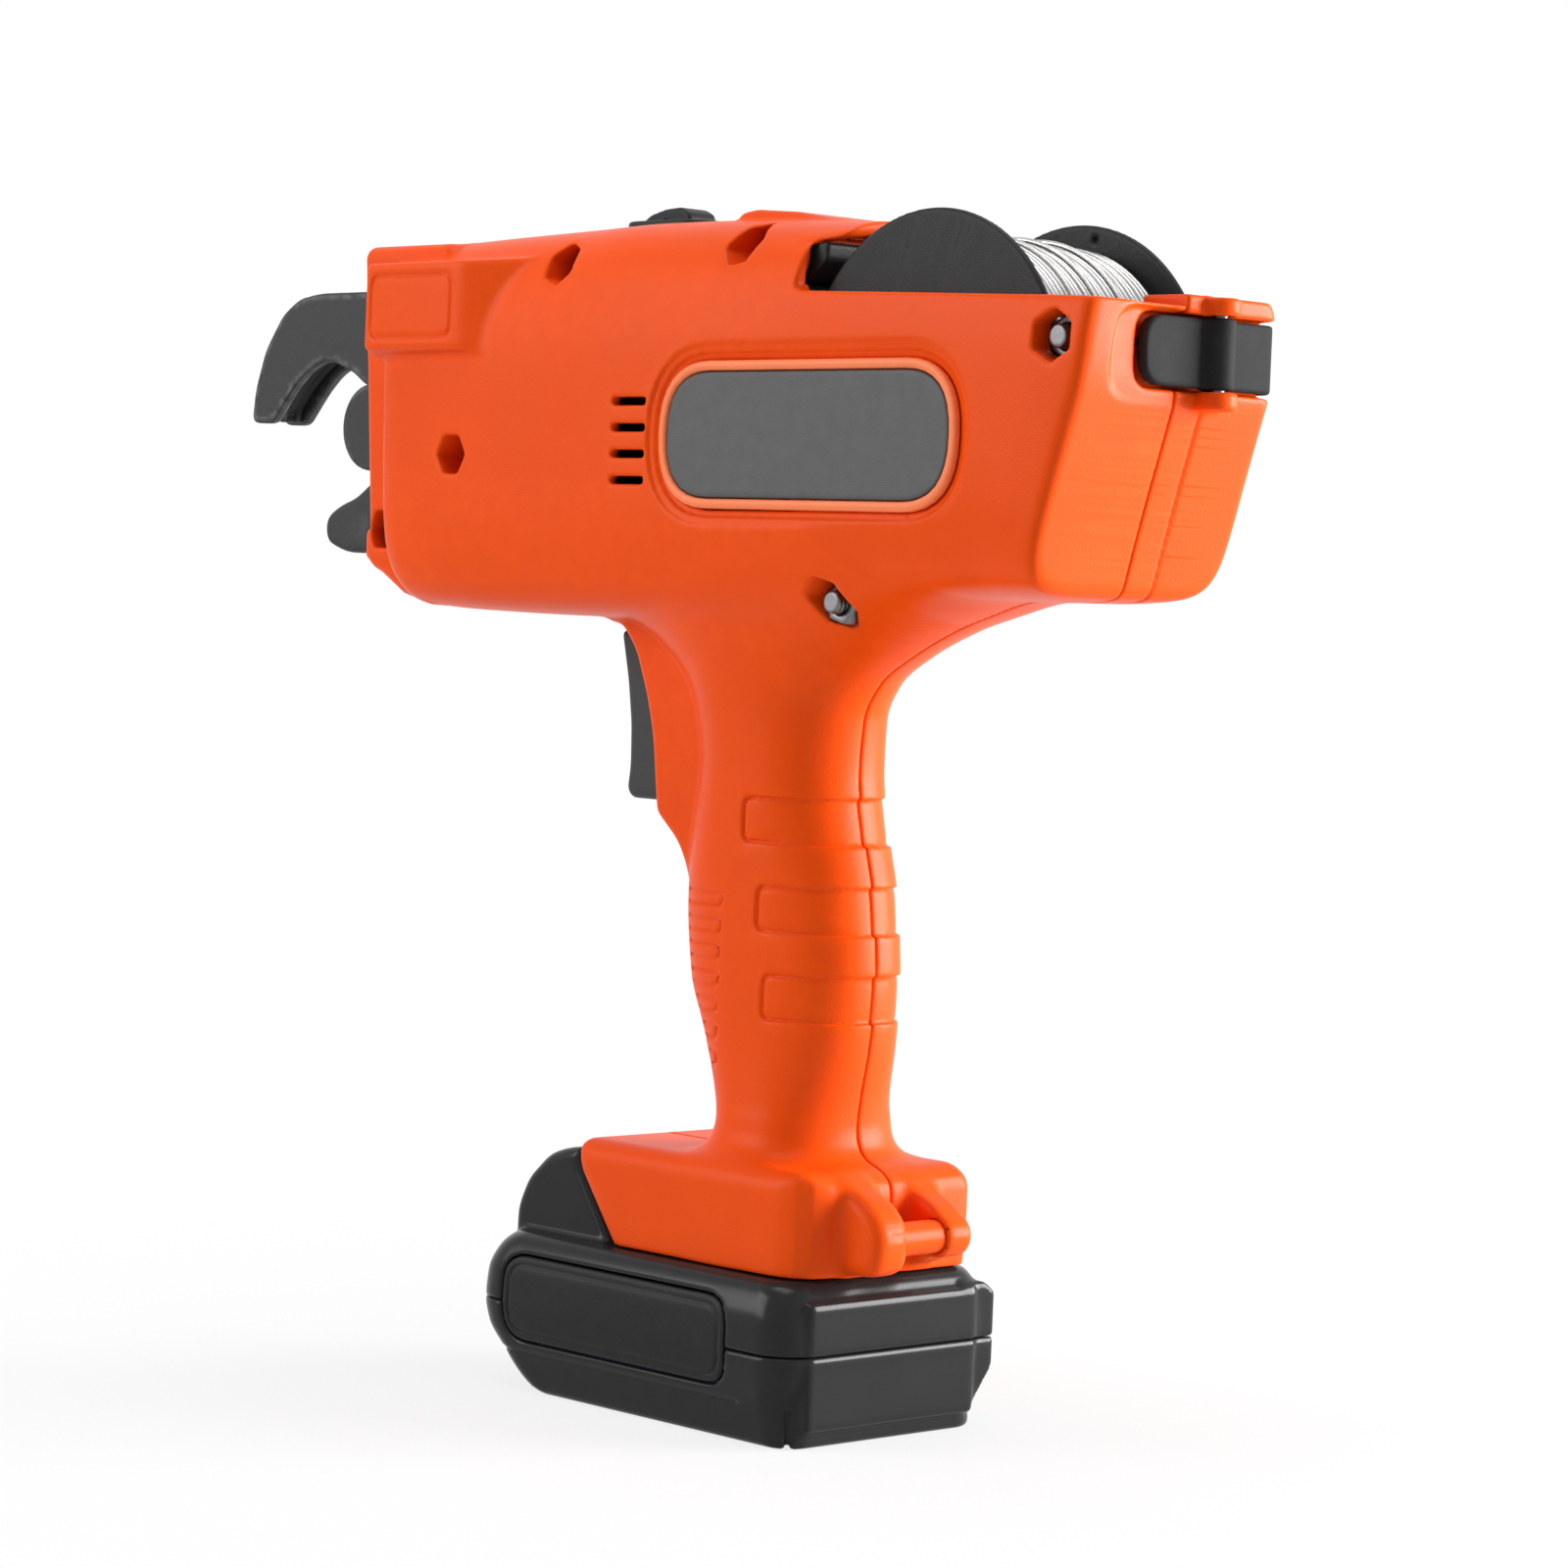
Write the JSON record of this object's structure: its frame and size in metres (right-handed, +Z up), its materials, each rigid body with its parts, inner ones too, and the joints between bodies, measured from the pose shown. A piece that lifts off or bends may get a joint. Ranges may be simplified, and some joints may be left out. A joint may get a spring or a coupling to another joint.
{
  "type": "battery rebar tying tool",
  "caption": "Pistol-grip battery tool that ties wire round crossed reinforcing bars: hooked jaw in front, wire spool in a rear tray, trigger in the grip and a slide-on battery below.",
  "frame": {"origin": "the battery's flat bottom face, under the front part of the grip and midway across the width", "axes": "+Z up, -X towards the jaws, +X towards the spool, -Y to the tool's left side"},
  "size_m": [0.295, 0.0621, 0.2553],
  "materials": {
    "housing_orange": "fine moulded texture, semi-matte",
    "black_plastic": "fine moulded texture",
    "grey_plastic": "smooth, semi-matte",
    "jaw_steel": "dark phosphate coat with worn edges",
    "bare_steel": "machined",
    "motor_steel": "drawn can",
    "tying_wire": "bright drawn wire",
    "board_green": "lacquered board",
    "cell_wrap": "shrink wrap",
    "contact_brass": "plated"
  },
  "bodies": {
    "housing": {"left_shell": "housing_orange", "right_shell": "housing_orange", "name_plate": "grey_plastic", "shell_bolts": "bare_steel", "shell_nuts": "bare_steel", "strap_bar": "housing_orange", "head_block": "jaw_steel", "hook_plate_left": "jaw_steel", "hook_plate_right": "jaw_steel", "hook_channel": "jaw_steel", "rest_plates": "jaw_steel", "lower_jaw": "jaw_steel", "gearbox": "motor_steel", "twist_motor": "motor_steel", "feed_motor": "motor_steel", "feed_bracket": "bare_steel", "idler_pin": "bare_steel", "wire_inlet": "black_plastic", "control_board": "board_green", "trigger_spring": "bare_steel", "trigger_switch": "black_plastic", "switch_bezel": "black_plastic", "terminal_block": "black_plastic", "spool_hub": "black_plastic", "wire_lead": "tying_wire", "lever_pin": "bare_steel"},
    "trigger": {"trigger": "grey_plastic"},
    "rocker": {"power_rocker": "black_plastic"},
    "spool": {"spool": "black_plastic", "wire_core": "tying_wire", "wire_winding": "tying_wire"},
    "lever": {"spool_lever": "grey_plastic"},
    "battery": {"battery_upper_case": "black_plastic", "battery_lower_case": "black_plastic", "battery_cells": "cell_wrap", "battery_label": "black_plastic", "battery_contacts": "contact_brass"},
    "release": {"battery_release": "black_plastic"},
    "twister": {"twister": "bare_steel"},
    "drive": {"drive_gear": "bare_steel"},
    "idler": {"idler_gear": "bare_steel"}
  },
  "joints": [
    {"name": "trigger_slide", "type": "slide", "parent": "housing", "child": "trigger", "axis": [1, 0, 0], "range_m": [0, 0.006], "stiffness_N_per_m": 800, "springref_m": -0.004, "deforming": ["trigger_spring"]},
    {"name": "rocker_tilt", "type": "hinge", "parent": "housing", "child": "rocker", "pos_m": [-0.0315, 0, 0.2519], "axis": [0, 1, 0], "range_deg": [0, 14]},
    {"name": "spool_spin", "type": "hinge", "parent": "housing", "child": "spool", "pos_m": [0.0673, 0, 0.2144], "axis": [0, 1, 0], "continuous": true},
    {"name": "lever_swing", "type": "hinge", "parent": "housing", "child": "lever", "pos_m": [0.1162, 0.009, 0.2226], "axis": [0, 0, -1], "range_deg": [0, 6.5], "stiffness_Nm_per_rad": 0.8, "springref_deg": -11.46},
    {"name": "battery_slide", "type": "slide", "parent": "housing", "child": "battery", "axis": [-1, 0, 0], "range_m": [0, 0.08]},
    {"name": "release_press", "type": "slide", "parent": "battery", "child": "release", "axis": [1, 0, 0], "range_m": [0, 0.0025], "stiffness_N_per_m": 600, "springref_m": -0.004},
    {"name": "twister_spin", "type": "hinge", "parent": "housing", "child": "twister", "pos_m": [-0.1, 0, 0.2075], "axis": [1, 0, 0], "continuous": true},
    {"name": "drive_spin", "type": "hinge", "parent": "housing", "child": "drive", "pos_m": [-0.079, 0, 0.2327], "axis": [0, 1, 0], "continuous": true},
    {"name": "idler_spin", "type": "hinge", "parent": "housing", "child": "idler", "pos_m": [-0.079, 0, 0.2207], "axis": [0, 1, 0], "continuous": true}
  ],
  "couplings": [
    {"joint": "idler_spin", "follows": "drive_spin", "ratio": -1}
  ]
}
